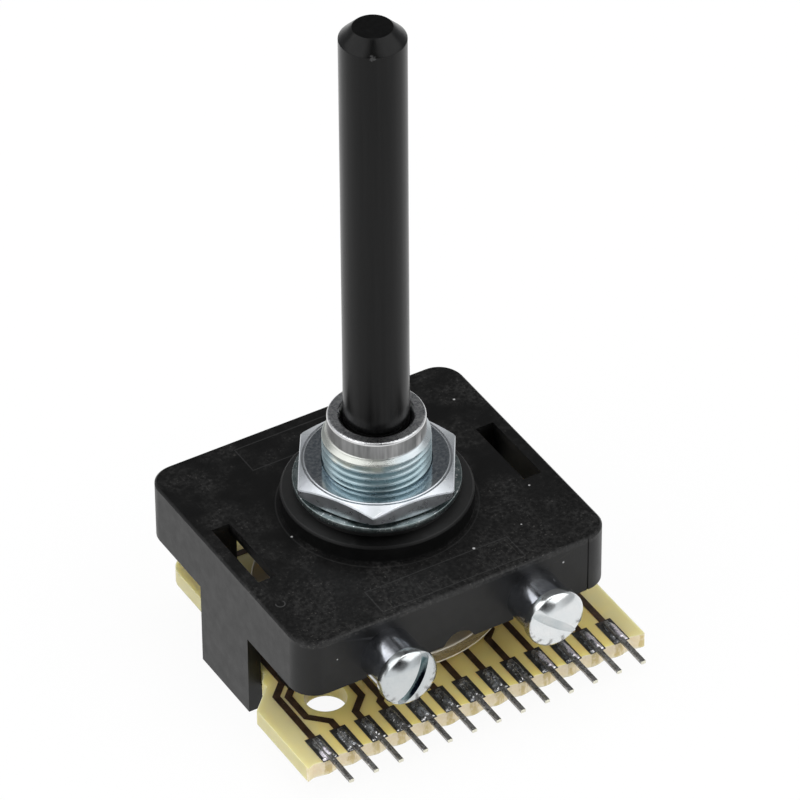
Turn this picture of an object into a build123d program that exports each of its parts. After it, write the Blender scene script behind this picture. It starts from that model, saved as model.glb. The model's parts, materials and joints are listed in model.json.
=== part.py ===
from build123d import *
import os
from math import cos, radians, sin, tan

# Rotary switch for a panel, with a printed contact wafer. Sizes are in millimetres.
# Z runs up along the spindle, X along the row of terminals, and the terminals point to -Y.
# The origin is on the spindle's axis, on the face of the housing that meets the panel.

# Housing
housing_width = 32.2
housing_depth = 28.5
housing_height = 6.1
housing_corner = 2.5
housing_edge = 0.2
wall = 1.5
roof = 1.1
boss_radius = 8.8
boss_height = 1.9
seat_radius = 7.2
seat_height = 0.7

# Side legs with the hooks that carry the wafer
leg_width = 8.5
leg_thickness = 1.3
leg_below_board = 2.45
hook_reach = 1.6
hook_lip = 0.45
hook_tip = 0.1
slot_width = 1.85
slot_length = 8.4
slot_rib = 1.0
slot_rib_depth = 3.45
post_width = 2.2
post_wall_gap = 0.8
post_rib_gap = 0.2

# Notches in the front wall
neck_clearance = 0.05
peep_width = 3.1
peep_height = 1.1
seam_offset = 2.6
seam_width = 0.14
seam_depth = 0.08

# Threaded bush, nut and washer. Below the nut's top the thread is drawn at its pitch radius
thread_radius = 4.95
thread_pitch_radius = 4.71
bush_height = 7.66
lead_radius = 4.48
lead_height = 1.7
lead_slope = 0.45
mouth_radius = 3.4
mouth_depth = 0.7
bush_edge = 0.2
flange_across_flats = 11.2
flange_thickness = 1.6
bush_clearance = 0.05
washer_radius = 7.65
washer_thickness = 0.6
washer_clearance = 0.15
nut_across_flats = 14.0
nut_thickness = 2.0
nut_ring_radius = 6.55
nut_chamfer_angle = 27.0
nut_turn = -2.2
thread_clearance = 0.02

# Spindle
spindle_radius = 3.0
spindle_length = 50.0
spindle_chamfer = 1.2
groove_radius = 2.75
groove_height = 0.5
groove_lift = 0.05
running_clearance = 0.04
shoulder_radius = 4.6
shoulder_thickness = 1.1
end_play = 0.1
key_flats = 4.6
key_clearance = 0.03
journal_radius = 2.0
journal_overhang = 0.4

# Positions
positions = 12
stops_per_turn = 12

# Index wheel, its stop and the two leaf springs
wheel_radius = 7.6
wheel_thickness = 3.0
notch_floor_width = 0.7
notch_mouth_width = 2.2
notch_depth = 0.6
stop_inner_radius = 6.75
stop_height = 1.0
stop_clearance = 0.06
leaf_thickness = 0.3
leaf_height = 2.4
leaf_reach = 10.4
leaf_standoff = 1.4
leaf_bend = 0.6
leaf_corner = 1.0
leaf_slope = 55.0
leaf_gap = 0.05
holder_length = 2.0
holder_width = 2.4
holder_depth = 4.4

# Contact wafer
board_gap = 4.6
board_thickness = 1.6
board_edge_margin = 2.41
board_shoulder = 8.45
board_waist = 0.7
board_notch_clearance = 0.2
board_notch_side = 0.35
board_rear_step = 0.25
board_rear_setback = 0.55
board_rear_corner = 2.0
board_hole_radius = 1.95
board_hole_x = -11.46
board_hole_y = -10.06

# Copper
copper = 0.05
track_width = 0.65
lane_pitch = 1.05
pad_width = 1.6
pad_length = 3.35
contact_inset = 2.85
contact_width = 2.4
contact_sweep = 22.0
ring_inner = 3.7
ring_outer = 5.3
lane_gap = 0.4
lane_cut = 2.5
lane_bends = (-5.6, -6.15, -6.7, -6.25)
inner_bend = -10.8
inner_jog = 0.95
outer_jog = 0.42
jog_y = -13.1
hole_margin = 0.9

# Terminals and their solder
pin_count = 13
pin_pitch = 2.54
pin_width = 0.5
pin_thickness = 0.32
pin_overhang = 3.6
pin_seat = 2.9
solder_width = 1.4
solder_slope = 60.0
solder_height = 0.42
solder_end = 0.25

# Rotor and its contact
rotor_side_gap = 2.95
rotor_rim_slope = 0.25
rotor_thickness = 1.2
rotor_lift = 0.5
rotor_hub_radius = 4.4
thrust_radius = 3.2
thrust_gap = 0.1
strip_thickness = 0.2
strip_width = 2.6
strip_gap = 0.2
strip_overrun = 1.3
dimple_width = 1.1
dimple_tip = 0.4
dimple_gap = 0.02
stake_length = 1.4
stake_width = 0.9
stake_clearance = 0.03
stake_height = 0.3

# Studs and screws
stud_spacing = 15.24
stud_radius = 2.6
stud_neck_radius = 1.9
stud_length = 3.25
stud_collar = 1.3
stud_roof_gap = 0.25
stud_bore_depth = 5.2
screw_radius = 1.5
screw_length = 4.6
head_radius = 2.85
head_rim = 0.95
head_crown = 1.1
crown_steps = ((0.72, 0.62), (0, 1))
head_slot_width = 0.85
head_slot_depth = 1.15
slot_turn_left = 65.0
slot_turn_right = -36.0

# Heights that follow from the sizes above
roof_top = -(boss_height + seat_height)
ceiling = roof_top - roof
housing_bottom = roof_top - housing_height
board_top = housing_bottom - board_gap
board_bottom = board_top - board_thickness
copper_top = board_top + copper
leg_bottom = board_bottom - leg_below_board
bush_bottom = ceiling
bush_top = bush_height
shoulder_top = bush_bottom - end_play
wheel_top = shoulder_top - shoulder_thickness
wheel_bottom = wheel_top - wheel_thickness
rotor_bottom = board_top + rotor_lift
rotor_top = rotor_bottom + rotor_thickness
thrust_bottom = board_top + thrust_gap
key_bottom = rotor_bottom + 2 * end_play
stud_axis_z = ceiling - stud_roof_gap - stud_radius
washer_top = washer_thickness
nut_top = washer_top + nut_thickness

# Places in plan that follow from the sizes above
side = housing_width / 2
front = housing_depth / 2
inner_side = side - wall
inner_front = front - wall
leg_inner = side - leg_thickness
rotor_radius = leg_inner - rotor_side_gap
contact_radius = rotor_radius - contact_inset
ring_middle = (ring_inner + ring_outer) / 2
stake_place = (ring_middle + contact_radius) / 2
seat_plane = front + stud_length
post_x = inner_side - post_wall_gap - post_width / 2
post_y = slot_length / 2 + slot_rib + post_rib_gap + post_width / 2
stud_x = stud_spacing / 2
step_angle = 360 / stops_per_turn
travel = (positions - 1) * step_angle
first_contact = 270 - step_angle / 2
bore_radius = spindle_radius + running_clearance

# Fixed stop and travelling stop: each is this wide, so that they meet at both ends of the travel
stop_half_gap = radians((360 - travel) / 2)
stop_half_width = (stop_inner_radius * sin(stop_half_gap) - stop_clearance) / (1 + cos(stop_half_gap))
stop_length = wheel_radius - stop_inner_radius
fixed_stop_angle = first_contact + (360 - travel) / 2

os.makedirs("parts", exist_ok=True)


# Housing: one moulding, open below, with its legs, hooks, posts and spring holders
with BuildPart() as housing:
    with BuildSketch(Plane.XY.offset(housing_bottom)):
        RectangleRounded(housing_width, housing_depth, housing_corner)
    extrude(amount=housing_height)
    chamfer(housing.edges().group_by(Axis.Z)[-1], housing_edge)
    with BuildSketch(Plane.XY.offset(roof_top)):
        Circle(boss_radius)
    extrude(amount=boss_height)
    chamfer(housing.edges().group_by(Axis.Z)[-1], housing_edge)
    with BuildSketch(Plane.XY.offset(roof_top + boss_height)):
        Circle(seat_radius)
    extrude(amount=seat_height)
    with BuildSketch(Plane.XY.offset(housing_bottom)):
        RectangleRounded(2 * inner_side, 2 * inner_front, housing_corner - wall)
    extrude(amount=housing_height - roof, mode=Mode.SUBTRACT)

    # Side legs, each with a hook under the wafer and a sloping lead-in
    with BuildSketch(Plane.XZ.offset(-leg_width / 2)):
        with BuildLine():
            Polyline(
                (side, housing_bottom + wall),
                (side, leg_bottom),
                (leg_inner + hook_tip, leg_bottom),
                (leg_inner - hook_reach, board_bottom - hook_lip),
                (leg_inner - hook_reach, board_bottom),
                (leg_inner, board_bottom),
                (leg_inner, housing_bottom + wall),
                close=True,
            )
        make_face()
        mirror(about=Plane.YZ)
    extrude(amount=leg_width)

    # Ribs that close the ends of the slots over the hooks
    with BuildSketch(Plane.XY.offset(ceiling)):
        with GridLocations(2 * leg_inner - slot_width, slot_length + slot_rib, 2, 2):
            Rectangle(slot_width, slot_rib)
    extrude(amount=-slot_rib_depth)

    # Posts that hold the wafer at its distance
    with BuildSketch(Plane.XY.offset(ceiling)):
        with GridLocations(2 * post_x, 2 * post_y, 2, 2):
            Rectangle(post_width, post_width)
    extrude(amount=copper_top - ceiling)

    # Holders for the ends of the leaf springs, slit from below
    leaf_y = wheel_radius + leaf_standoff
    holder_x = leaf_reach + holder_length / 2 - wall / 2
    leaf_middle = (wheel_top + wheel_bottom) / 2
    with BuildSketch(Plane.XY.offset(ceiling)):
        with GridLocations(2 * holder_x, 2 * leaf_y, 2, 2):
            Rectangle(holder_length, holder_width)
    extrude(amount=-holder_depth)
    with BuildSketch(Plane.XY.offset(leaf_middle + leaf_height / 2 + leaf_gap)):
        with GridLocations(0, 2 * leaf_y, 1, 2):
            Rectangle(2 * (leaf_reach + leaf_gap), leaf_thickness + 2 * leaf_gap)
    extrude(amount=-holder_depth, mode=Mode.SUBTRACT)

    # Fixed stop under the roof
    with BuildSketch(Plane.XY.offset(ceiling)):
        with PolarLocations(stop_inner_radius + stop_length / 2, 1, start_angle=fixed_stop_angle):
            Rectangle(stop_length, 2 * stop_half_width)
    extrude(amount=-stop_height)

    # Slots over the hooks
    with BuildSketch(Plane.XY.offset(roof_top)):
        with GridLocations(2 * leg_inner - slot_width, 0, 2, 1):
            Rectangle(slot_width, slot_length)
    extrude(amount=-housing_height, mode=Mode.SUBTRACT)

    # Hole for the bush, with the seat of its flange below
    with BuildSketch(Plane.XY.offset(ceiling)):
        Circle(thread_radius + bush_clearance)
    extrude(amount=-ceiling, mode=Mode.SUBTRACT)
    with BuildSketch(Plane.XY.offset(ceiling)):
        RegularPolygon(flange_across_flats / 2 + bush_clearance, 6, major_radius=False)
    extrude(amount=flange_thickness, mode=Mode.SUBTRACT)

    # Front wall: a notch for each stud's neck and a shallow round one between them
    notch_width = 2 * (stud_neck_radius + neck_clearance)
    notch_drop = stud_axis_z - housing_bottom
    with BuildSketch(Plane.XZ.offset(front)):
        with Locations((-stud_x, stud_axis_z), (stud_x, stud_axis_z)):
            Circle(notch_width / 2)
        with Locations((-stud_x, stud_axis_z - notch_drop / 2), (stud_x, stud_axis_z - notch_drop / 2)):
            Rectangle(notch_width, notch_drop)
        peep_radius = (peep_width**2 / 4 + peep_height**2) / (2 * peep_height)
        with Locations((0, housing_bottom + peep_height - peep_radius)):
            Circle(peep_radius)
    extrude(amount=-wall, mode=Mode.SUBTRACT)

    # Fine joint line of the mould on the front wall
    with BuildSketch(Plane.XZ.offset(front)):
        with Locations((side - seam_offset, (roof_top + housing_bottom) / 2)):
            Rectangle(seam_width, housing_height)
    extrude(amount=-seam_depth, mode=Mode.SUBTRACT)

housing.part.label = "housing"
export_step(housing.part, "parts/housing.step")


# Bush: turned, with a hexagonal flange below that keeps it from turning
with BuildPart() as bush:
    with BuildSketch(Plane.XY.offset(bush_bottom)):
        RegularPolygon(flange_across_flats / 2, 6, major_radius=False)
    extrude(amount=flange_thickness)
    with BuildSketch(Plane.XZ):
        with BuildLine():
            Polyline(
                (0, bush_bottom),
                (thread_pitch_radius, bush_bottom),
                (thread_pitch_radius, nut_top),
                (thread_radius, nut_top),
                (thread_radius, bush_top - lead_height - lead_slope),
                (lead_radius, bush_top - lead_height),
                (lead_radius, bush_top - bush_edge),
                (lead_radius - bush_edge, bush_top),
                (0, bush_top),
                close=True,
            )
        make_face()
    revolve(axis=Axis.Z)
    with BuildSketch(Plane.XZ):
        with BuildLine():
            Polyline(
                (0, bush_bottom),
                (bore_radius, bush_bottom),
                (bore_radius, bush_top - mouth_depth),
                (mouth_radius, bush_top),
                (0, bush_top),
                close=True,
            )
        make_face()
    revolve(axis=Axis.Z, mode=Mode.SUBTRACT)

bush.part.label = "bush"
export_step(bush.part, "parts/bush.step")


# Washer on the mounting face
with BuildPart() as washer:
    with BuildSketch(Plane.XY):
        Circle(washer_radius)
        Circle(thread_radius + washer_clearance, mode=Mode.SUBTRACT)
    extrude(amount=washer_thickness)

washer.part.label = "washer"
export_step(washer.part, "parts/washer.step")


# Thin hexagon nut, chamfered on its upper face
with BuildPart() as mounting_nut:
    with BuildSketch(Plane.XY.offset(washer_top)):
        RegularPolygon(nut_across_flats / 2, 6, major_radius=False, rotation=nut_turn)
    extrude(amount=nut_thickness)
    nut_reach = 0.6 * nut_across_flats
    nut_fall = (nut_reach - nut_ring_radius) * tan(radians(nut_chamfer_angle))
    with BuildSketch(Plane.XZ):
        with BuildLine():
            Polyline(
                (0, nut_top),
                (nut_ring_radius, nut_top),
                (nut_reach, nut_top - nut_fall),
                (nut_reach, washer_top),
                (0, washer_top),
                close=True,
            )
        make_face()
    revolve(axis=Axis.Z, mode=Mode.INTERSECT)
    with BuildSketch(Plane.XY.offset(washer_top)):
        Circle(thread_pitch_radius + thread_clearance)
    extrude(amount=nut_thickness, mode=Mode.SUBTRACT)

mounting_nut.part.label = "mounting_nut"
export_step(mounting_nut.part, "parts/mounting_nut.step")


# Spindle: round above, a grease groove in the bush's mouth, a shoulder under the bush, two flats for
# the wheel and rotor, and a journal below
with BuildPart() as spindle:
    with BuildSketch(Plane.XY.offset(shoulder_top)):
        Circle(spindle_radius)
    extrude(amount=spindle_length - shoulder_top)
    chamfer(spindle.edges().group_by(Axis.Z)[-1], spindle_chamfer)
    with BuildSketch(Plane.XY.offset(bush_top + groove_lift)):
        Circle(spindle_radius)
        Circle(groove_radius, mode=Mode.SUBTRACT)
    extrude(amount=-groove_height, mode=Mode.SUBTRACT)
    with BuildSketch(Plane.XY.offset(shoulder_top)):
        Circle(shoulder_radius)
    extrude(amount=-shoulder_thickness)
    with BuildSketch(Plane.XY.offset(wheel_top)):
        Circle(spindle_radius)
        Rectangle(2 * spindle_radius, key_flats, mode=Mode.INTERSECT)
    extrude(amount=key_bottom - wheel_top)
    with BuildSketch(Plane.XY.offset(key_bottom)):
        Circle(journal_radius)
    extrude(amount=board_bottom - journal_overhang - key_bottom)

spindle.part.label = "spindle"
export_step(spindle.part, "parts/spindle.step")


# Index wheel: one notch for each position, and the travelling stop on its upper face
with BuildPart() as index_wheel:
    with BuildSketch(Plane.XY.offset(wheel_bottom)):
        Circle(wheel_radius)
        with PolarLocations(wheel_radius, stops_per_turn, start_angle=90):
            Polygon(
                (-notch_depth, -notch_floor_width / 2),
                (notch_depth, notch_floor_width / 2 - notch_mouth_width),
                (notch_depth, notch_mouth_width - notch_floor_width / 2),
                (-notch_depth, notch_floor_width / 2),
                align=None,
                mode=Mode.SUBTRACT,
            )
    extrude(amount=wheel_thickness)
    with BuildSketch(Plane.XY.offset(wheel_top)):
        with PolarLocations(stop_inner_radius + stop_length / 2, 1, start_angle=first_contact):
            Rectangle(stop_length, 2 * stop_half_width)
    extrude(amount=stop_height)
    with BuildSketch(Plane.XY.offset(wheel_bottom)):
        Circle(spindle_radius + key_clearance)
        Rectangle(2 * (spindle_radius + key_clearance), key_flats + 2 * key_clearance, mode=Mode.INTERSECT)
    extrude(amount=wheel_thickness, mode=Mode.SUBTRACT)

index_wheel.part.label = "index_wheel"
export_step(index_wheel.part, "parts/index_wheel.step")


# Leaf springs, one on each side of the wheel, each with its nose in a notch
nose_floor = wheel_radius - notch_depth + leaf_gap
nose_corner = nose_floor + leaf_thickness / 2 + leaf_bend - leaf_bend / cos(radians(leaf_slope))
nose_half = (leaf_y - nose_corner) / tan(radians(leaf_slope))
for name, facing in (("index_spring_rear", 1), ("index_spring_front", -1)):
    with BuildPart() as index_spring:
        with BuildSketch(Plane.XY.offset(leaf_middle - leaf_height / 2)):
            with BuildLine():
                FilletPolyline(
                    (-leaf_reach, facing * leaf_y),
                    (-nose_half, facing * leaf_y),
                    (0, facing * nose_corner),
                    (nose_half, facing * leaf_y),
                    (leaf_reach, facing * leaf_y),
                    radius=(leaf_corner, leaf_bend, leaf_corner),
                )
            trace(line_width=leaf_thickness)
        extrude(amount=leaf_height)
    index_spring.part.label = name
    export_step(index_spring.part, f"parts/{name}.step")


# Rotor: a clear disc with a sloping rim, its hub up to the index wheel and a thrust face over the wafer
with BuildPart() as rotor:
    with BuildSketch(Plane.XZ):
        with BuildLine():
            Polyline(
                (0, rotor_bottom),
                (rotor_radius, rotor_bottom),
                (rotor_radius - rotor_rim_slope, rotor_top),
                (0, rotor_top),
                close=True,
            )
        make_face()
    revolve(axis=Axis.Z)
    with BuildSketch(Plane.XY.offset(rotor_top)):
        Circle(rotor_hub_radius)
    extrude(amount=wheel_bottom - rotor_top)
    with BuildSketch(Plane.XY.offset(rotor_bottom)):
        Circle(thrust_radius)
    extrude(amount=thrust_bottom - rotor_bottom)
    with BuildSketch(Plane.XY.offset(thrust_bottom)):
        Circle(spindle_radius + key_clearance)
        Rectangle(2 * (spindle_radius + key_clearance), key_flats + 2 * key_clearance, mode=Mode.INTERSECT)
    extrude(amount=wheel_bottom - thrust_bottom, mode=Mode.SUBTRACT)
    with BuildSketch(Plane.XY.offset(rotor_bottom)):
        with PolarLocations(stake_place, 1, start_angle=first_contact):
            Rectangle(stake_length, stake_width)
    extrude(amount=-stake_height)

rotor.part.label = "rotor"
export_step(rotor.part, "parts/rotor.step")


# Rotor contact: a strip staked under the disc, with a dimple over the ring and one over the contacts
strip_inner = thrust_radius + strip_gap
strip_outer = contact_radius + strip_overrun
strip_bottom = rotor_bottom - strip_thickness
dimple_height = strip_bottom - copper_top - dimple_gap
with BuildPart() as rotor_contact:
    with BuildSketch(Plane.XY.offset(rotor_bottom)):
        with PolarLocations((strip_inner + strip_outer) / 2, 1, start_angle=first_contact):
            Rectangle(strip_outer - strip_inner, strip_width)
        with PolarLocations(stake_place, 1, start_angle=first_contact):
            Rectangle(
                stake_length + 2 * stake_clearance,
                stake_width + 2 * stake_clearance,
                mode=Mode.SUBTRACT,
            )
    extrude(amount=-strip_thickness)
    for radius in (ring_middle, contact_radius):
        with BuildSketch(Plane.XY.offset(strip_bottom)):
            with PolarLocations(radius, 1, start_angle=first_contact):
                Rectangle(dimple_width, dimple_width)
        with BuildSketch(Plane.XY.offset(strip_bottom - dimple_height)):
            with PolarLocations(radius, 1, start_angle=first_contact):
                Rectangle(dimple_tip, dimple_tip)
        loft()

rotor_contact.part.label = "rotor_contact"
export_step(rotor_contact.part, "parts/rotor_contact.step")


# Wafer: wide at the terminals, waisted at the legs, with rounded rear corners
pin_row = (pin_count - 1) * pin_pitch
board_half = pin_row / 2 + board_edge_margin
notch_half = leg_inner - board_notch_clearance
waist_half = notch_half + board_waist
rear_half = notch_half - board_rear_step
notch_y = leg_width / 2 + board_notch_side
board_rear = front - board_rear_setback
with BuildPart() as circuit_board:
    with BuildSketch(Plane.XY.offset(board_bottom)) as board_outline:
        with BuildLine():
            Polyline(
                (0, -seat_plane),
                (board_half, -seat_plane),
                (board_half, -board_shoulder),
                (waist_half, -board_shoulder + board_half - waist_half),
                (waist_half, -notch_y - board_waist),
                (notch_half, -notch_y),
                (notch_half, notch_y),
                (rear_half, notch_y),
                (rear_half, board_rear),
                (0, board_rear),
                close=True,
            )
        make_face()
        mirror(about=Plane.YZ)
        fillet(board_outline.vertices().group_by(Axis.Y)[-1], board_rear_corner)
        Circle(journal_radius + running_clearance, mode=Mode.SUBTRACT)
        with Locations((board_hole_x, board_hole_y)):
            Circle(board_hole_radius, mode=Mode.SUBTRACT)
    extrude(amount=board_thickness)

circuit_board.part.label = "circuit_board"
export_step(circuit_board.part, "parts/circuit_board.step")


# Copper: a conductor from each terminal's pad to its contact, and the middle one to the common ring
pin_places = [(number - (pin_count - 1) / 2) * pin_pitch for number in range(pin_count)]
pad_start = -seat_plane + pad_length - pad_width / 2
contact_inner = contact_radius - contact_width / 2
contact_outer = contact_radius + contact_width / 2
lanes = [contact_outer + lane_gap + lane_pitch * number for number in range(4)]


def route(points):
    """Trace a track through the points, less those on a straight stretch."""
    kept = [points[0]]
    for here, after in zip(points[1:-1], points[2:]):
        before = kept[-1]
        turn = (here[0] - before[0]) * (after[1] - here[1]) - (here[1] - before[1]) * (after[0] - here[0])
        if abs(turn) > 0.02:
            kept.append(here)
    kept.append(points[-1])
    with BuildLine() as path:
        Polyline(*kept)
    trace(path.line, line_width=track_width)


def lane_route(hand, number, pin, run, jog_y, bend_y):
    """Points from a pad, by a jog to x = run, into a lane beside the contacts and round to its contact."""
    lane = lanes[number]
    angle = radians(step_angle / 2 + (number + 2) * step_angle)
    end_x = (contact_outer - track_width) * sin(angle)
    end_y = -(contact_outer - track_width) * cos(angle)
    height = (end_y, end_y, end_y, contact_outer + lane_pitch)[number]
    cut = (lane - end_x, lane - end_x, lane_cut, 2 * lane_cut)[number]
    points = [
        (pin, pad_start),
        (pin, jog_y),
        (run, jog_y + abs(run - pin)),
        (run, bend_y - abs(lane - run)),
        (lane, bend_y),
        (lane, height - cut),
        (lane - cut, height),
        (end_x + height - end_y, height),
        (end_x, end_y),
    ]
    return [(hand * x, y) for index, (x, y) in enumerate(points) if index == 0 or (x, y) != points[index - 1]]


hole_left = -board_hole_x + board_hole_radius + hole_margin
hole_right = -board_hole_x - board_hole_radius - hole_margin
with BuildPart() as copper_tracks:
    with BuildSketch(Plane.XY.offset(board_top)):
        # Pads under the terminals
        with Locations(*[(place, -seat_plane + pad_length / 2) for place in pin_places]):
            Rectangle(pad_width, pad_length)

        # Contacts, and the common ring inside them
        for number in range(positions):
            middle = first_contact - number * step_angle
            with BuildLine():
                outer_arc = CenterArc((0, 0), contact_outer, middle - contact_sweep / 2, contact_sweep)
                inner_arc = CenterArc((0, 0), contact_inner, middle - contact_sweep / 2, contact_sweep)
                Line(outer_arc @ 0, inner_arc @ 0)
                Line(outer_arc @ 1, inner_arc @ 1)
            make_face()
        Circle(ring_outer)
        Circle(ring_inner, mode=Mode.SUBTRACT)
        route([(0, pad_start), (0, -ring_outer + track_width)])

        # The four conductors nearest the middle
        for hand in (-1, 1):
            near = hand * pin_pitch
            route([(near, pad_start), (near, -contact_outer + track_width)])
            jog = inner_jog
            route(
                [
                    (2 * near, pad_start),
                    (2 * near, inner_bend),
                    (2 * near + hand * jog, inner_bend + jog),
                    (2 * near + hand * jog, inner_bend + 2.6 * jog),
                ]
            )

        # The outer ones: straight on the right, and round the hole on the left
        for number, place in enumerate(pin_places[9:]):
            bend = lane_bends[number]
            route(lane_route(1, number, place, place, jog_y, bend))
            run = (place - outer_jog, hole_right, hole_left, place)[number]
            route(lane_route(-1, number, place, run, jog_y, bend))
    extrude(amount=copper)

copper_tracks.part.label = "copper_tracks"
export_step(copper_tracks.part, "parts/copper_tracks.step")


# Terminals: flat pins that lie on their pads
for number, place in enumerate(pin_places):
    with BuildPart() as pin:
        with BuildSketch(Plane.XY.offset(copper_top)):
            with Locations((place, -seat_plane - pin_overhang)):
                Rectangle(pin_width, pin_overhang + pin_seat, align=(Align.CENTER, Align.MIN))
        extrude(amount=pin_thickness)
    pin.part.label = f"pin_{number + 1:02d}"
    export_step(pin.part, f"parts/pin_{number + 1:02d}.step")


# Solder: a lump over the end of each terminal
solder_length = pin_seat + solder_end
with BuildPart() as solder_joints:
    for place in pin_places:
        with BuildSketch(Plane.XZ.offset(seat_plane)):
            with Locations((place, copper_top)):
                Trapezoid(
                    solder_width,
                    solder_height,
                    solder_slope,
                    align=(Align.CENTER, Align.MIN),
                )
            with Locations((place, copper_top)):
                Rectangle(pin_width, pin_thickness, align=(Align.CENTER, Align.MIN), mode=Mode.SUBTRACT)
        extrude(amount=-pin_seat)
        with BuildSketch(Plane.XZ.offset(seat_plane - pin_seat)):
            with Locations((place, copper_top)):
                Trapezoid(solder_width, solder_height, solder_slope, align=(Align.CENTER, Align.MIN))
        extrude(amount=-solder_end)

solder_joints.part.label = "solder_joints"
export_step(solder_joints.part, "parts/solder_joints.step")


# Studs in the front wall, square behind it so that they can't turn, and the slotted pan-head screws
for name, place, slot_turn in (("left", -stud_x, slot_turn_left), ("right", stud_x, slot_turn_right)):
    with BuildPart() as stud:
        with BuildSketch(Plane.XZ.offset(inner_front - stud_collar)):
            with Locations((place, stud_axis_z)):
                Rectangle(2 * stud_radius, 2 * stud_radius)
        extrude(amount=stud_collar)
        with BuildSketch(Plane.XZ.offset(inner_front)):
            with Locations((place, stud_axis_z)):
                Circle(stud_neck_radius)
        extrude(amount=wall)
        with BuildSketch(Plane.XZ.offset(front)):
            with Locations((place, stud_axis_z)):
                Circle(stud_radius)
        extrude(amount=stud_length)
        with BuildSketch(Plane.XZ.offset(seat_plane)):
            with Locations((place, stud_axis_z)):
                Circle(screw_radius + thread_clearance)
        extrude(amount=-stud_bore_depth, mode=Mode.SUBTRACT)
    stud.part.label = f"stud_{name}"
    export_step(stud.part, f"parts/stud_{name}.step")

    screw_place = Plane((place, -seat_plane, stud_axis_z))
    with BuildPart() as screw:
        with BuildSketch(screw_place):
            with BuildLine():
                Polyline(
                    (head_radius, 0),
                    (head_radius, -head_rim),
                    *[(out * head_radius, -head_rim - up * head_crown) for out, up in crown_steps],
                    (0, screw_length),
                    (screw_radius, screw_length),
                    (screw_radius, 0),
                    close=True,
                )
            make_face()
        revolve(axis=Axis((place, 0, stud_axis_z), (0, 1, 0)))
        with BuildSketch(Plane.XZ.offset(seat_plane + head_rim + head_crown)):
            with Locations(Location((place, stud_axis_z), slot_turn)):
                Rectangle(3 * head_radius, head_slot_width)
        extrude(amount=-head_slot_depth, mode=Mode.SUBTRACT)
    screw.part.label = f"screw_{name}"
    export_step(screw.part, f"parts/screw_{name}.step")
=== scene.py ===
"""Looks, camera and light of the rotary switch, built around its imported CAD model.

Z runs up along the spindle, X along the row of terminals, and the terminals point to -Y. Lengths are in
metres, so one in millimetres is written as a number times MM. The looks work in millimetres on the object:
their places, radii and soft edges are plain millimetres.
"""

import json
from math import acos, atan2, cos, exp, floor, pi, radians, sin, tan

import bmesh
import bpy
from mathutils import Matrix, Vector, noise

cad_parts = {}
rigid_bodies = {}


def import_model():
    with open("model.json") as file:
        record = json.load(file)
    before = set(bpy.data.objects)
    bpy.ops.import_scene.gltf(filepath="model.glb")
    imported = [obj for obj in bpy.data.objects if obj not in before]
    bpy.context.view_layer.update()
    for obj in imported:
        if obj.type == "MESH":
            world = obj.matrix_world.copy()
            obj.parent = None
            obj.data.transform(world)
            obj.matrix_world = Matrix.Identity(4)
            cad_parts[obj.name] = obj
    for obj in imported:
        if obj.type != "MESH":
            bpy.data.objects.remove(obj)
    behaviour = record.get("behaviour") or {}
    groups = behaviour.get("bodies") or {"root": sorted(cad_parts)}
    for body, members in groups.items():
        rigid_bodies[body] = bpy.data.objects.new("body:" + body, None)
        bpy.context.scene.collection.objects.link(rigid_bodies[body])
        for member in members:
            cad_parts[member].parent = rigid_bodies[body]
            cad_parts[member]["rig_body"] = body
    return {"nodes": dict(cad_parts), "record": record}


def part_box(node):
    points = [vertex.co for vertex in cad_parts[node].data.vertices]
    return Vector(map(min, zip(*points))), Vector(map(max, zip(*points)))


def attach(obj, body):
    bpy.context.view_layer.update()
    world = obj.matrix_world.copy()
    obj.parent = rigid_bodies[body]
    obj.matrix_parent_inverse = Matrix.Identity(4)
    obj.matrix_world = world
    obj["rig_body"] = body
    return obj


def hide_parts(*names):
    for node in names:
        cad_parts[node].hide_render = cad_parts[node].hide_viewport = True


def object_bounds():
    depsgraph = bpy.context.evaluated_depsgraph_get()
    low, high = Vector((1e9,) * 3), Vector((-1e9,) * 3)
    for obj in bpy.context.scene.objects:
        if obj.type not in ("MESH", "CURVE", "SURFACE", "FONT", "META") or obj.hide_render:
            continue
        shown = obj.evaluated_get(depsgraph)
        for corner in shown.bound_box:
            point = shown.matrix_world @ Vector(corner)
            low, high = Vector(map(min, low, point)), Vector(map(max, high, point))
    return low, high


MM = 0.001
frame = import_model()
cad_bounds = [list(corner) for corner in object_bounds()]
nodes = frame["nodes"]
slot_of = {part["node"]: part["material_slot"] for part in frame["record"]["subparts"]}
collection = bpy.context.scene.collection


# Camera: fitted to the photograph, with no shift
camera_place = Vector((-231.5, -394.9, 378.63)) * MM
camera_right = Vector((0.85802, -0.51359, -0.00561))
camera_up = Vector((0.32636, 0.53673, 0.77808))
camera_back = camera_right.cross(camera_up)
camera_bearing = atan2(camera_back.y, camera_back.x)
camera_data = bpy.data.cameras.new("camera")
camera_data.sensor_width = 36.0
camera_data.lens = 297.2
camera = bpy.data.objects.new("camera", camera_data)
collection.objects.link(camera)
camera_turn = Matrix((camera_right, camera_up, camera_back)).transposed()
camera.matrix_world = Matrix.Translation(camera_place) @ camera_turn.to_4x4()
bpy.context.scene.camera = camera
bpy.context.scene.view_settings.view_transform = "Standard"


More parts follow.
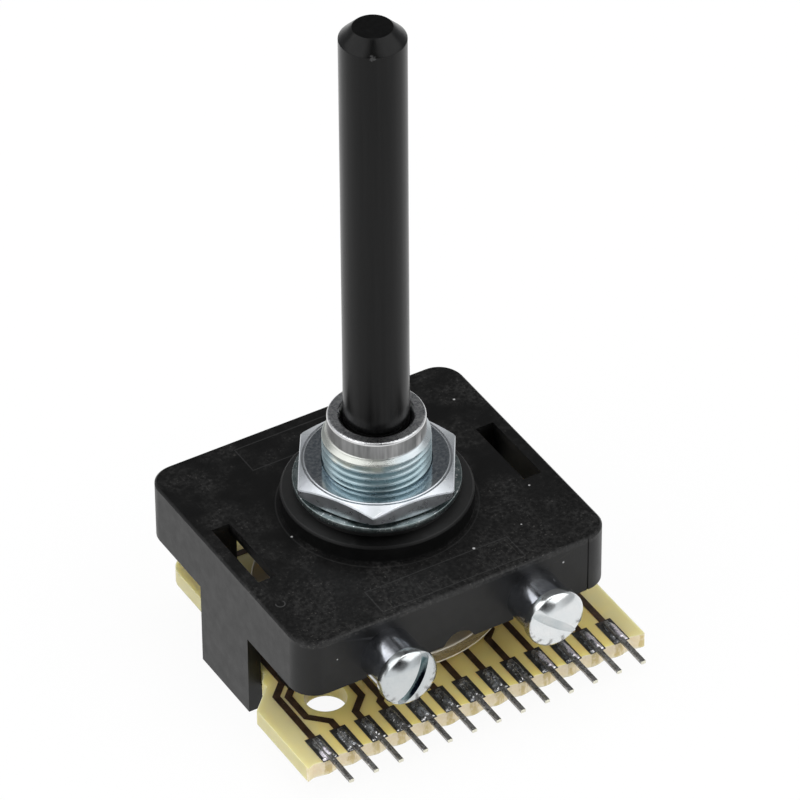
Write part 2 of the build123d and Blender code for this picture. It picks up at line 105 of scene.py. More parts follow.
class Nodes:
    """The shader nodes of a material or of the world."""

    def __init__(self, tree):
        self.tree = tree

    def add(self, kind, inputs, out=0, **settings):
        """Add a node, set or link its inputs, and return one output."""
        made = self.tree.nodes.new("ShaderNode" + kind)
        for name, value in settings.items():
            setattr(made, name, value)
        for socket, value in inputs.items():
            if isinstance(value, bpy.types.NodeSocket):
                self.tree.links.new(value, made.inputs[socket])
            else:
                made.inputs[socket].default_value = value
        return made.outputs[out] if made.outputs else None

    def calc(self, operation, first, second=0.0, clamp=False):
        """One sum on one or two numbers, kept between 0 and 1 where it is clamped."""
        return self.add("Math", {0: first, 1: second}, operation=operation, use_clamp=clamp)

    def times(self, first, *others):
        """The product of all of them."""
        for other in others:
            first = self.calc("MULTIPLY", first, other)
        return first

    def apart(self, first, second):
        """The difference of two numbers, without its sign."""
        return self.calc("ABSOLUTE", self.calc("SUBTRACT", first, second))

    def ramp(self, value, start, end, low=0.0, high=1.0, kind="SMOOTHSTEP"):
        """Low up to where the value is at the start, and high from where it is at the end."""
        inputs = {"Value": value, "From Min": start, "From Max": end, "To Min": low, "To Max": high}
        return self.add("MapRange", inputs, interpolation_type=kind)

    def dot(self, vector, direction):
        """How far a vector reaches along a direction."""
        return self.add("VectorMath", {0: vector, 1: direction}, out=1, operation="DOT_PRODUCT")


class Look(Nodes):
    """A material: a Principled shader and the nodes that drive it, placed by millimetres on the object."""

    def __init__(self, name, values):
        self.material = bpy.data.materials.new(name)
        self.material.use_nodes = True
        super().__init__(self.material.node_tree)
        self.shader = self.tree.nodes["Principled BSDF"]
        for socket, value in values.items():
            self.shader.inputs[socket].default_value = value
        on_object = self.add("TexCoord", {}, out="Object")
        self.place = self.add("VectorMath", {0: on_object, "Scale": 1 / MM}, operation="SCALE")
        self.x, self.y, self.z = (self.add("SeparateXYZ", {0: self.place}, out=axis) for axis in range(3))

    def use(self, socket, value):
        """Let a value drive one of the shader's sockets."""
        self.tree.links.new(value, self.shader.inputs[socket])

    def bump(self, height, depth):
        """Bump by a height from 0 to 1, which stands for that many millimetres."""
        self.use("Normal", self.add("Bump", {"Strength": 1.0, "Distance": depth * MM, "Height": height}))

    def noise(self, scale, detail=3.0, stretch=None, roughness=0.55):
        """Noise with that many features to the millimetre, finer along an axis where stretch is above 1."""
        vector = self.place
        if stretch:
            vector = self.add("VectorMath", {0: self.place, 1: stretch}, operation="MULTIPLY")
        inputs = {"Vector": vector, "Scale": scale, "Detail": detail, "Roughness": roughness}
        return self.add("TexNoise", inputs)

    def step(self, value, edge, soft):
        """0 below the edge and 1 above it, with a soft change between."""
        return self.ramp(value, edge - soft, edge + soft)

    def below(self, value, edge, soft):
        """1 below the edge and 0 above it."""
        return self.ramp(value, edge - soft, edge + soft, 1.0, 0.0)

    def span(self, value, low, high):
        """Stretch the middle of a noise over the values from low to high."""
        return self.ramp(value, 0.3, 0.7, low, high, "LINEAR")

    def mix(self, share, first, second):
        """A colour between the first and the second."""
        return self.add("Mix", {0: share, 6: first, 7: second}, out=2, data_type="RGBA")

    def wander(self, value, first, second):
        """A colour that wanders between two as a noise does."""
        return self.mix(self.span(value, 0.0, 1.0), first, second)

    def between(self, share, first, second):
        """A number between the first and the second."""
        return self.add("Mix", {0: share, 2: first, 3: second}, data_type="FLOAT")

    def far_from(self, place):
        """Distance from a place."""
        return self.add("VectorMath", {0: self.place, 1: place}, out=1, operation="DISTANCE")

    def ragged(self, distance, scale, detail, reach):
        """A distance or place, made uneven by up to that reach with a noise."""
        return self.calc("ADD", distance, self.span(self.noise(scale, detail), -reach, reach))

    def from_axis(self):
        """Distance from the spindle's axis."""
        flat = self.add("VectorMath", {0: self.place, 1: (1.0, 1.0, 0.0)}, operation="MULTIPLY")
        return self.add("VectorMath", {0: flat}, out=1, operation="LENGTH")

    def along(self, bearing):
        """Distance from the axis along a level direction, at that bearing in degrees from +X."""
        return self.dot(self.place, (cos(radians(bearing)), sin(radians(bearing)), 0.0))

    def frame_line(self, centre_y, half_x, half_y, width):
        """1 on the outline of a rectangle about X = 0, seen from above."""
        over_x = self.calc("SUBTRACT", self.calc("ABSOLUTE", self.x), half_x)
        over_y = self.calc("SUBTRACT", self.apart(self.y, centre_y), half_y)
        edge = self.calc("ABSOLUTE", self.calc("MAXIMUM", over_x, over_y))
        return self.below(edge, width, width / 2)


def rgb(red, green, blue):
    """An opaque colour."""
    return (red, green, blue, 1.0)


def grey(level, warmth=0.0):
    """A grey, a little warmer where warmth is above 0 and cooler where it is below."""
    return rgb(level * (1 + warmth), level, level * (1 - warmth))


# Sizes that looks and shapes share, with the slot's turn in degrees
pin_count = 13
pin_pitch = (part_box("pin_13")[0].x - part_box("pin_01")[0].x) / (pin_count - 1)
first_smooth_pin = 10
sawn_shift = 0.3 * MM
lead_bottom = 5.96 * MM
nut_ring = 6.55 * MM
head_slot_width = 0.85 * MM
left_slot_turn = 57.0


# Marks of the photographed part, and where painted reflections lie: places and radii in millimetres, bearings
# in degrees from +X
housing_top = -2.6
housing_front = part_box("housing")[0].y / MM
boss_foot = 9.2
boss_top = -0.72
painted_boss_reflection_bearing = -30.9
painted_nut_reflection_bearing = -120.64
insert_half_length = 7.4
mould_inserts = ((-11.85, 1.55), (11.3, 1.7))
white_specks = (
    ((13.5, 8.9, housing_top), 0.10),
    ((12.9, -5.2, housing_top), 0.09),
    ((9.4, -9.5, housing_top), 0.07),
    ((4.0, -10.15, housing_top), 0.12),
    ((-9.1, -0.3, housing_top), 0.10),
    ((10.9, housing_front, -4.3), 0.09),
    ((-12.6, housing_front, -5.2), 0.06),
)
dark_spots = (
    ((5.6, housing_front, -5.3), 0.32),
    ((1.9, housing_front, -6.0), 0.3),
    ((1.2, housing_front, -7.0), 0.2),
)
curl_place = (-14.6, -7.75, housing_top)
curl_radius = 0.42
nick_place = (-1.5, -2.55, 48.75)
nick_radius = 0.22


def black_moulding(name):
    """Black moulded plastic with dust, fine scratches, faint outlines of two mould inserts on top, and a
    painted reflection each side of the boss.
    """
    side_sheen = 0.33
    top_sheen = 0.16
    look = Look(name, {})
    high = look.step(look.z, housing_top - 0.1, 0.08)
    look.use("Specular IOR Level", look.between(high, side_sheen, top_sheen))
    colour = look.wander(look.noise(0.35, 5.0), grey(0.0014), grey(0.003))
    on_top = look.step(look.z, housing_top - 0.6, 0.1)
    on_top = look.times(on_top, look.below(look.z, housing_top + 0.3, 0.1))
    colour = look.mix(on_top, colour, grey(0.0035))

    patches = look.step(look.noise(0.22, 4.0), 0.53, 0.12)
    towards_front = look.calc("MULTIPLY", look.y, -0.04, clamp=True)
    dusty = look.times(look.calc("ADD", patches, towards_front, clamp=True), on_top)
    specks = look.step(look.noise(4.5, 2.0), 0.67, 0.03)
    scratches = look.times(look.step(look.noise(0.8, 2.0, (6.0, 0.35, 1.0)), 0.68, 0.02), 0.35)
    dust = look.times(look.calc("MAXIMUM", specks, scratches), dusty, 0.8)
    colour = look.mix(dust, colour, grey(0.06, 0.05))
    film = look.times(look.step(look.noise(2.6, 6.0, roughness=0.7), 0.52, 0.14), dusty, 0.5)
    colour = look.mix(film, colour, grey(0.04, 0.02))

    lines = look.times(look.below(look.apart(look.from_axis(), boss_foot), 0.06, 0.04), 0.7)
    for centre, half_width in mould_inserts:
        outline = look.frame_line(centre, insert_half_length, half_width, 0.05)
        lines = look.calc("MAXIMUM", lines, outline)
    lines = look.times(lines, on_top)
    colour = look.mix(look.times(lines, 0.55), colour, grey(0.04))

    # Painted reflection: the boss's top is lighter to either side along this bearing
    aside = look.calc("ABSOLUTE", look.along(painted_boss_reflection_bearing))
    painted_reflection = look.times(look.step(look.z, boss_top - 0.04, 0.04), look.step(aside, 3.8, 3.0))
    colour = look.mix(painted_reflection, colour, grey(0.02))
    for place, radius in white_specks:
        colour = look.mix(look.below(look.far_from(place), radius, radius / 2), colour, grey(0.45))
    for place, radius in dark_spots:
        spot = look.ragged(look.far_from(place), 3.0, 4.0, 0.25)
        colour = look.mix(look.below(spot, radius, 0.1), colour, grey(0.001))
    curl = look.below(look.apart(look.far_from(curl_place), curl_radius), 0.05, 0.04)
    curl = look.times(curl, look.below(look.y, curl_place[1] + 0.2, 0.1), 0.6)
    look.use("Base Color", look.mix(curl, colour, grey(0.08)))
    look.use("Roughness", look.span(look.noise(0.9), 0.38, 0.46))
    grain = look.calc("ADD", look.noise(7.0, 4.0), look.times(lines, -0.8))
    look.bump(look.calc("ADD", grain, scratches), 0.005)
    return look.material


def black_rod(name):
    """Semi-gloss black plastic with faint draw lines along it and a small nick near its end."""
    look = Look(name, {"Specular IOR Level": 0.18})
    streaks = look.noise(0.9, 4.0, (3.0, 3.0, 0.06))
    colour = look.wander(streaks, grey(0.002), grey(0.0045))
    nick = look.below(look.ragged(look.far_from(nick_place), 4.0, 3.0, 0.15), nick_radius, 0.08)
    look.use("Base Color", look.mix(nick, colour, grey(0.04)))
    look.use("Roughness", look.span(look.noise(0.6, 5.0, (2.0, 2.0, 0.2)), 0.2, 0.28))
    fine = look.calc("ADD", streaks, look.noise(6.0))
    look.bump(look.calc("SUBTRACT", fine, look.times(nick, 6.0)), 0.004)
    return look.material


def plated(name, first, second, rough, stretch=None, grain=0.12):
    """Bright plated metal: a tint that drifts between two, fine tool lines along the stretch, dull grains."""
    look = Look(name, {"Metallic": 1.0})
    colour = look.wander(look.noise(0.5, 2.0), first, second)
    grains = look.step(look.noise(5.0, 4.0), 0.58, 0.12)
    look.use("Base Color", look.mix(look.times(grains, grain), colour, grey(0.25)))
    look.use("Roughness", look.span(look.noise(1.6, 5.0), *rough))
    look.bump(look.noise(5.0, 4.0, stretch), 0.0015)
    return look.material


def passivated(name):
    """Passivated zinc: a rim painted brighter as a highlight, grey with tool streaks at the lead-in, and
    bluish on the thread.
    """
    look = Look(name, {"Metallic": 1.0})
    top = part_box("bush")[1].z / MM
    rim_bottom = top - 0.24
    height = look.ragged(look.z, 0.4, 2.0, 0.5)
    colour = look.mix(look.step(height, 5.0, 0.9), rgb(0.31, 0.40, 0.43), rgb(0.50, 0.54, 0.56))
    warm = look.times(look.step(height, 4.8, 0.4), look.below(look.x, -1.2, 1.5), 0.4)
    colour = look.mix(warm, colour, rgb(0.60, 0.57, 0.45))
    streaks = look.wander(look.noise(2.4, 4.0, (1.5, 1.5, 0.08)), grey(0.28), grey(0.48))
    lead = look.times(look.step(look.z, lead_bottom / MM - 0.01, 0.03), look.below(look.z, rim_bottom, 0.04))
    lead = look.times(lead, look.step(look.from_axis(), 4.0, 0.1))
    colour = look.mix(lead, colour, streaks)
    # Painted highlight: the rounded rim is given a brighter colour
    colour = look.mix(look.step(look.z, rim_bottom, 0.04), colour, grey(0.7))
    mottle = look.times(look.step(look.z, top - 0.06, 0.03), look.step(look.noise(4.0, 5.0), 0.5, 0.2))
    look.use("Base Color", look.mix(mottle, colour, rgb(0.36, 0.37, 0.39)))
    look.use("Roughness", look.between(lead, look.span(look.noise(1.2, 4.0), 0.25, 0.32), 0.4))
    look.bump(look.noise(3.0, 3.0, (0.4, 0.4, 2.0)), 0.002)
    return look.material


def nut_zinc(name):
    """Bluish zinc: a polished ring on top with a mottle and a painted reflection on one side, smooth chamfers
    and flats with a few scratches.
    """
    look = Look(name, {"Metallic": 1.0})
    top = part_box("mounting_nut")[1].z / MM
    ring = look.step(look.z, top - 0.02, 0.01)
    ring = look.times(ring, look.below(look.from_axis(), nut_ring / MM - 0.05, 0.05))
    smooth = look.wander(look.noise(0.7, 2.0), rgb(0.52, 0.55, 0.57), rgb(0.62, 0.64, 0.68))
    mottle = look.noise(3.4, 6.0, roughness=0.65)
    polished = look.wander(mottle, rgb(0.26, 0.31, 0.37), rgb(0.74, 0.78, 0.82))
    # Painted reflection: bright patches on the ring's side towards this bearing
    painted_reflection = look.times(look.step(look.along(painted_nut_reflection_bearing), 3.6, 1.2), 0.85)
    polished = look.mix(painted_reflection, polished, rgb(0.84, 0.89, 0.92))
    colour = look.mix(ring, smooth, polished)
    scratches = look.step(look.noise(1.2, 2.0, (0.6, 5.0, 3.0)), 0.7, 0.015)
    look.use("Base Color", look.mix(look.times(scratches, 0.6), colour, grey(0.9)))
    dull = look.span(look.noise(1.5), 0.26, 0.33)
    look.use("Roughness", look.between(ring, dull, look.span(mottle, 0.07, 0.17)))
    look.bump(look.calc("ADD", look.noise(3.0), scratches), 0.0012)
    return look.material


def washer_zinc(name):
    """Dark greenish zinc with bright grains."""
    look = Look(name, {"Metallic": 1.0})
    colour = look.wander(look.noise(1.4, 5.0), rgb(0.14, 0.18, 0.18), rgb(0.36, 0.41, 0.41))
    sparks = look.step(look.noise(4.0), 0.64, 0.03)
    look.use("Base Color", look.mix(sparks, colour, grey(0.85)))
    look.use("Roughness", look.span(look.noise(3.0, 4.0), 0.26, 0.38))
    look.bump(look.noise(4.0, 5.0), 0.004)
    return look.material


def screw_steel(name):
    """Bright plated screws, the left-hand one a little darker with painted shade, and a greenish slot with
    painted shade on one wall.
    """
    look = Look(name, {"Metallic": 1.0})
    low, high = (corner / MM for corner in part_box("screw_left"))
    colour = look.wander(look.noise(0.5, 2.0), rgb(0.72, 0.75, 0.76), rgb(0.80, 0.81, 0.81))
    grains = look.step(look.noise(5.0, 4.0), 0.6, 0.1)
    colour = look.mix(look.times(grains, 0.08), colour, grey(0.3))
    # Painted shade: the left-hand screw is toned darker
    painted_shade_on_left = look.below(look.x, 0.0, 1.0)
    colour = look.mix(look.times(painted_shade_on_left, 0.25), colour, rgb(0.10, 0.14, 0.15))

    aside = look.calc("SUBTRACT", look.x, (low.x + high.x) / 2)
    over = look.calc("SUBTRACT", look.z, (low.z + high.z) / 2)
    out = look.add("CombineXYZ", {0: aside, 2: over})
    out = look.add("VectorMath", {0: out}, out=1, operation="LENGTH")
    in_slot = look.times(look.step(look.y, low.y + 0.95, 0.12), look.below(out, 2.3, 0.1))
    stains = look.wander(look.noise(1.6, 4.0), rgb(0.22, 0.30, 0.31), rgb(0.58, 0.67, 0.68))
    colour = look.mix(in_slot, colour, stains)

    turned = radians(left_slot_turn)
    across = look.calc("SUBTRACT", look.times(aside, sin(turned)), look.times(over, cos(turned)))
    wall = head_slot_width / MM / 2
    # Painted shade: a dark strip on one wall of the left screw's slot
    shade = look.times(look.step(across, wall - 0.065, 0.04), look.below(across, wall + 0.02, 0.01))
    shade = look.times(shade, look.below(look.y, low.y + 0.6, 0.12), look.below(out, 1.5, 0.3))
    look.use("Base Color", look.mix(shade, colour, rgb(0.02, 0.025, 0.05)))
    look.use("Roughness", look.span(look.noise(1.3, 4.0), 0.16, 0.24))
    look.bump(look.noise(4.0, 4.0), 0.001)
    return look.material


def laminate(name):
    """Yellow resin laminate with painted light that makes it paler towards its ends and its rear, and a sawn
    front edge.
    """
    values = {
        "Specular IOR Level": 0.35,
        "Subsurface Weight": 0.75,
        "Subsurface Scale": 2.0 * MM,
        "Subsurface Radius": (1.0, 0.9, 0.6),
    }
    look = Look(name, values)
    low, high = (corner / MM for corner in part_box("circuit_board"))
    cloud = look.noise(0.3)
    colour = look.wander(cloud, rgb(0.86, 0.69, 0.24), rgb(0.86, 0.72, 0.26))
    threads = 14.0
    warp = look.calc("SINE", look.times(look.x, threads))
    weft = look.calc("SINE", look.times(look.y, threads))
    weave = look.times(warp, weft)
    colour = look.mix(look.times(look.step(weave, 0.1, 0.8), 0.04), colour, rgb(0.70, 0.62, 0.26))

    # Painted light: paler towards the ends and the rear, as if lit through the resin
    drift = look.span(cloud, -1.0, 1.0)
    left = look.below(look.calc("ADD", look.x, drift), low.x + 3.05, 2.0)
    right = look.step(look.calc("ADD", look.x, drift), high.x - 2.25, 1.8)
    rear = look.step(look.calc("ADD", look.y, drift), 2.0, 4.0)
    painted_light_ends_and_rear = look.calc("MAXIMUM", look.calc("MAXIMUM", left, right), rear)
    colour = look.mix(look.times(painted_light_ends_and_rear, 0.8), colour, rgb(0.60, 0.56, 0.32))
    under = look.below(look.z, high.z - 0.04, 0.03)
    colour = look.mix(look.times(under, 0.45), colour, rgb(0.40, 0.37, 0.20))

    front = look.times(look.below(look.y, low.y + 0.28, 0.06), under)
    waves = look.times(look.calc("ADD", look.x, sawn_shift / MM), 2 * pi / (pin_pitch / MM))
    fibres = look.noise(2.4, 4.0, (1.0, 1.0, 0.3))
    waves = look.calc("ADD", look.calc("COSINE", waves), look.span(fibres, -0.6, 0.6))
    edge = look.mix(look.step(waves, 0.6, 0.35), rgb(0.68, 0.58, 0.41), rgb(0.50, 0.40, 0.20))
    torn = look.times(look.step(look.noise(3.0, 4.0), 0.56, 0.1), 0.4)
    edge = look.mix(torn, edge, rgb(0.76, 0.69, 0.56))
    look.use("Base Color", look.mix(front, colour, edge))
    look.use("Roughness", look.span(look.noise(1.4, 4.0), 0.32, 0.46))
    look.bump(look.calc("ADD", weave, look.times(fibres, 2.0)), 0.0015)
    return look.material


def lacquered_copper(name):
    """Dark copper under a brown lacquer, grey on the pads, with a few bare glints."""
    look = Look(name, {"Metallic": 0.3, "Coat Weight": 0.2, "Coat Roughness": 0.2})
    colour = look.wander(look.noise(1.2, 5.0), rgb(0.026, 0.014, 0.008), rgb(0.075, 0.042, 0.024))
    on_pads = look.below(look.y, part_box("solder_joints")[1].y / MM + 0.15, 0.05)
    colour = look.mix(on_pads, colour, look.wander(look.noise(2.2, 4.0), grey(0.014), grey(0.06, 0.03)))
    glints = look.times(look.step(look.noise(5.0), 0.68, 0.04), 0.5)
    look.use("Base Color", look.mix(glints, colour, rgb(0.22, 0.16, 0.10)))
    look.use("Roughness", look.span(look.noise(3.0, 4.0), 0.3, 0.5))
    look.bump(look.noise(3.0, 4.0), 0.006)
    return look.material


def solder_metal(name):
    """Dull tin-lead with dark flux between bright crystals, smoother at the right-hand end, with painted
    lilac highlights.
    """
    look = Look(name, {"Metallic": 0.55})
    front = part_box("circuit_board")[0].y / MM
    pitch = pin_pitch / MM
    middle_pin = (pin_count + 1) / 2
    colour = look.wander(look.noise(1.8, 5.0), grey(0.045, 0.02), grey(0.40, -0.05))
    smooth = look.step(look.x, (first_smooth_pin - 0.5 - middle_pin) * pitch, 0.4)
    flux = look.times(look.step(look.noise(1.1, 4.0), 0.47, 0.08), look.between(smooth, 1.0, 0.3), 0.75)
    colour = look.mix(flux, colour, rgb(0.035, 0.033, 0.027))

    # Painted highlight: lilac on the right of each smooth lump and at the first lump's outer corner
    across = look.calc("FRACT", look.calc("ADD", look.calc("DIVIDE", look.x, pitch), 0.5))
    across = look.times(look.calc("SUBTRACT", across, 0.5), pitch)
    right_side = look.step(look.ragged(across, 0.9, 2.0, 0.15), 0.0, 0.1)
    painted_lilac_highlight = look.times(smooth, right_side, look.below(look.y, front + 2.2, 0.4))
    first_pin_x = (1 - middle_pin) * pitch
    first = look.times(look.below(look.x, first_pin_x + 0.14, 0.25), look.below(look.y, front + 1.3, 0.2))
    painted_lilac_highlight = look.times(look.calc("MAXIMUM", painted_lilac_highlight, first), 0.85)
    colour = look.mix(painted_lilac_highlight, colour, rgb(0.74, 0.69, 0.76))

    # Painted glints: more bright sparks near the board's edge
    painted_glints_near_edge = look.times(look.below(look.y, front + 0.4, 0.15), 0.11)
    sparks = look.step(look.calc("ADD", look.noise(5.0, 2.0), painted_glints_near_edge), 0.66, 0.02)
    look.use("Base Color", look.mix(sparks, colour, grey(0.95)))
    look.use("Roughness", look.span(look.noise(2.6, 5.0), 0.18, 0.4))
    look.bump(look.noise(4.5, 4.0), 0.014)
    return look.material


def tinned(name):
    """Dark tinned terminal with speckles, and a pale cut end."""
    look = Look(name, {"Metallic": 0.85})
    colour = look.wander(look.noise(2.4, 5.0, (1.0, 0.4, 1.0)), grey(0.15, 0.05), grey(0.42, 0.03))
    colour = look.mix(look.step(look.noise(6.0), 0.64, 0.03), colour, grey(0.85))
    stains = look.times(look.step(look.noise(3.0), 0.6, 0.05), 0.7)
    colour = look.mix(stains, colour, grey(0.05))
    cut = look.below(look.y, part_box("pin_01")[0].y / MM + 0.07, 0.02)
    look.use("Base Color", look.mix(cut, colour, rgb(0.74, 0.72, 0.60)))
    look.use("Roughness", look.span(look.noise(3.0, 4.0), 0.22, 0.45))
    look.bump(look.noise(4.0, 4.0), 0.012)
    return look.material


def clear_disc(name):
    """Clear, slightly brown plastic with frosted edges round its rim, painted whiter as bright highlight
    lines.
    """
    look = Look(name, {"IOR": 1.49})
    rim_thickness = 1.2
    rim_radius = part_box("rotor")[1].x / MM
    rim_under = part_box("circuit_board")[1].z / MM + 0.5
    rim_over = rim_under + rim_thickness
    near_under = look.below(look.z, rim_under + 0.18, 0.05)
    near_over = look.step(look.z, rim_over - 0.09, 0.04)
    frost_and_highlight = look.calc("MAXIMUM", near_under, near_over)
    frost_and_highlight = look.times(frost_and_highlight, look.step(look.from_axis(), rim_radius - 0.42, 0.05))
    # Frosted edges and the top near the rim, also whitened as painted highlight lines
    dulled_and_painted_light = look.calc("MAXIMUM", frost_and_highlight, look.times(look.step(look.z, rim_over - 0.03, 0.02), 0.6))
    colour = look.wander(look.noise(0.5), rgb(0.80, 0.62, 0.30), rgb(0.88, 0.72, 0.40))
    look.use("Base Color", look.mix(dulled_and_painted_light, colour, rgb(0.95, 0.88, 0.75)))
    clear_transmission = 0.82
    frosted_transmission = 0.164
    look.use("Transmission Weight", look.between(dulled_and_painted_light, clear_transmission, frosted_transmission))
    look.use("Roughness", look.span(look.noise(2.0), 0.05, 0.14))
    look.bump(look.noise(0.8, 2.0), 0.006)
    return look.material


def pale_moulding(name):
    """Ivory moulded plastic."""
    look = Look(name, {"Specular IOR Level": 0.4})
    look.use("Base Color", look.wander(look.noise(0.8, 4.0), rgb(0.66, 0.62, 0.52), rgb(0.76, 0.73, 0.64)))
    look.use("Roughness", look.span(look.noise(1.5, 4.0), 0.38, 0.52))
    look.bump(look.noise(5.0, 4.0), 0.006)
    return look.material


looks = {
    "housing_plastic": black_moulding("housing_plastic"),
    "spindle_plastic": black_rod("spindle_plastic"),
    "wheel_plastic": pale_moulding("wheel_plastic"),
    "clear_plastic": clear_disc("clear_plastic"),
    "zinc_plate": passivated("zinc_plate"),
    "nut_plate": nut_zinc("nut_plate"),
    "stud_steel": plated("stud_steel", rgb(0.4, 0.42, 0.47), rgb(0.6, 0.62, 0.66), (0.13, 0.24), grain=0.25),
    "screw_steel": screw_steel("screw_steel"),
    "spring_steel": plated("spring_steel", grey(0.45), grey(0.6), (0.16, 0.3), stretch=(0.3, 4.0, 3.0)),
    "contact_bronze": plated("contact_bronze", rgb(0.6, 0.5, 0.3), rgb(0.75, 0.62, 0.4), (0.16, 0.3)),
    "laminate": laminate("laminate"),
    "copper": lacquered_copper("copper"),
    "solder": solder_metal("solder"),
    "pin_plate": tinned("pin_plate"),
}


def dress(piece, material):
    """Give the piece one material."""
    piece.data.materials.clear()
    piece.data.materials.append(material)


for node, piece in nodes.items():
    dress(piece, looks[slot_of[node]])
dress(nodes["washer"], washer_zinc("washer_zinc"))


def new_piece(name, mesh, node, sharp_angle):
    """A piece that stands for a CAD node: it rides on the node's body and takes its material slot."""
    mesh.validate()
    mesh.polygons.foreach_set("use_smooth", [True] * len(mesh.polygons))
    mesh.set_sharp_from_angle(angle=radians(sharp_angle))
    piece = bpy.data.objects.new(name, mesh)
    collection.objects.link(piece)
    dress(piece, looks[slot_of[node]])
    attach(piece, nodes[node]["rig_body"])
    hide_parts(node)
    return piece


def soften(piece, width, segments=2, angle=30.0):
    """Round a piece's sharp edges a little."""
    weld = piece.modifiers.new("weld", "WELD")
    weld.merge_threshold = 0.001 * MM
    bevel = piece.modifiers.new("bevel", "BEVEL")
    bevel.width = width
    bevel.segments = segments
    bevel.limit_method = "ANGLE"
    bevel.angle_limit = radians(angle)
    normals = piece.modifiers.new("normals", "WEIGHTED_NORMAL")
    normals.keep_sharp = False


def lathe(section, places):
    """Carry a section round the vertical axis. It gives (radius, height) points for each angle."""
    made = bmesh.new()
    columns = []
    for place in range(places):
        angle = 2 * pi * place / places
        points = [(out * cos(angle), out * sin(angle), up) for out, up in section(angle)]
        columns.append([made.verts.new(point) for point in points])
    for here, after in zip(columns, columns[1:] + columns[:1]):
        for step in range(len(here) - 1):
            made.faces.new((here[step], after[step], after[step + 1], here[step + 1]))
    bmesh.ops.remove_doubles(made, verts=made.verts[:], dist=0.0001 * MM)
    return made


def as_mesh(name, made):
    """Turn a bmesh into a mesh with its faces outwards."""
    bmesh.ops.recalc_face_normals(made, faces=made.faces[:])
    mesh = bpy.data.meshes.new(name)
    made.to_mesh(mesh)
    made.free()
    return mesh


# Bush: turned, with its real thread
bush_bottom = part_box("bush")[0].z
bush_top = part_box("bush")[1].z
thread_pitch = 0.75 * MM
thread_crest = 4.95 * MM
thread_root = 4.49 * MM
thread_runout = 5.51 * MM
crest_share = 0.1
flank_share = 0.68
lead_radius = 4.48 * MM
flange_top = bush_bottom + 1.6 * MM
flange_half = 5.6 * MM
thread_start = flange_top + 0.3 * MM
bore_radius = 3.04 * MM
mouth_radius = 3.4 * MM
mouth_depth = 0.7 * MM
mouth_edge = 0.12 * MM
turn_places = 160
rows_a_turn = 28
weld_distance = 0.0005 * MM

# The rim's rounded corner, in millimetres inwards and down from where it would be sharp
rim_curve = ((0.0, 0.22), (0.05, 0.1), (0.12, 0.03), (0.22, 0.0))
rim_guard = 0.28 * MM


def thread_radius(height, phase):
    """Radius of the thread at a phase from 0 on one crest to 1 on the next, with its edges rounded."""
    fade = min(max((height - thread_start) / thread_pitch, 0.0), 1.0)
    nudges = (-0.05, -0.025, 0.0, 0.025, 0.05)
    groove = 0.0
    for nudge in nudges:
        flank = abs(2 * (phase + nudge - floor(phase + nudge)) - 1)
        groove += min(max((flank - crest_share) / flank_share, 0.0), 1.0) / len(nudges)
    radius = thread_root + (thread_crest - thread_root) * groove * fade
    slope = (lead_bottom - height) / (lead_bottom - thread_runout)
    return min(radius, lead_radius + (thread_crest - lead_radius) * max(slope, 0.0))


def threaded_skin():
    """Rows that climb with the helix, from above the flange to where the lead-in begins."""
    made = bmesh.new()
    rise = thread_pitch / rows_a_turn
    rows = int((lead_bottom - thread_start) / rise) + rows_a_turn + 2
    grid = []
    for place in range(turn_places):
        angle = 2 * pi * place / turn_places
        column = []
        for row in range(rows):
            climb = (row - rows_a_turn) * rise
            height = thread_start + climb + thread_pitch * place / turn_places
            radius = thread_radius(height, climb / thread_pitch)
            height = min(max(height, thread_start), lead_bottom)
            radius = min(radius, thread_radius(height, climb / thread_pitch))
            column.append(made.verts.new((radius * cos(angle), radius * sin(angle), height)))
        grid.append(column)
    for place, here in enumerate(grid):
        last = place == turn_places - 1
        after = grid[0] if last else grid[place + 1]
        shift = rows_a_turn if last else 0
        for row in range(rows - 1 - shift):
            made.faces.new((here[row], after[row + shift], after[row + 1 + shift], here[row + 1]))
    bmesh.ops.remove_doubles(made, verts=made.verts[:], dist=weld_distance)
    bmesh.ops.dissolve_degenerate(made, edges=made.edges[:], dist=weld_distance)
    return made


def bush_section(angle):
    """The turned part, from the thread's end over the mouth, down the bore and round the hexagon flange."""
    flange = flange_half / cos(angle % (pi / 3) - pi / 6)
    curve = [(lead_radius - inwards * MM, bush_top - down * MM) for inwards, down in rim_curve]
    return [
        (lead_radius, lead_bottom),
        (lead_radius, bush_top - rim_guard),
        *curve,
        (lead_radius - rim_guard, bush_top),
        (mouth_radius + mouth_edge, bush_top),
        (mouth_radius, bush_top - mouth_edge),
        (bore_radius, bush_top - mouth_depth),
        (bore_radius, bush_bottom),
        (flange, bush_bottom),
        (flange, flange_top),
        (thread_root, flange_top),
        (thread_root, thread_start),
    ]


def threaded_bush():
    """The thread and the turned part, joined."""
    made = threaded_skin()
    turned = as_mesh("turned", lathe(bush_section, turn_places))
    made.from_mesh(turned)
    bpy.data.meshes.remove(turned)
    bmesh.ops.remove_doubles(made, verts=made.verts[:], dist=weld_distance)
    return made


new_piece("threaded_bush", as_mesh("threaded_bush", threaded_bush()), "bush", 40.0)


# Nut: a thin hexagon, chamfered on both faces, with a fine turned ring on top
nut_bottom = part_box("mounting_nut")[0].z
nut_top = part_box("mounting_nut")[1].z
nut_half = 7.0 * MM
nut_step = 6.64 * MM
nut_step_fall = 0.045 * MM
nut_cone = 6.82 * MM
nut_slope = tan(radians(27.0))
nut_bore = 4.74 * MM
nut_lead = 0.3 * MM
nut_edge = 0.08 * MM
flat_steps = 16
corner_radius = nut_half / cos(pi / 6) - nut_edge
corner_half_angle = acos(nut_half / corner_radius)


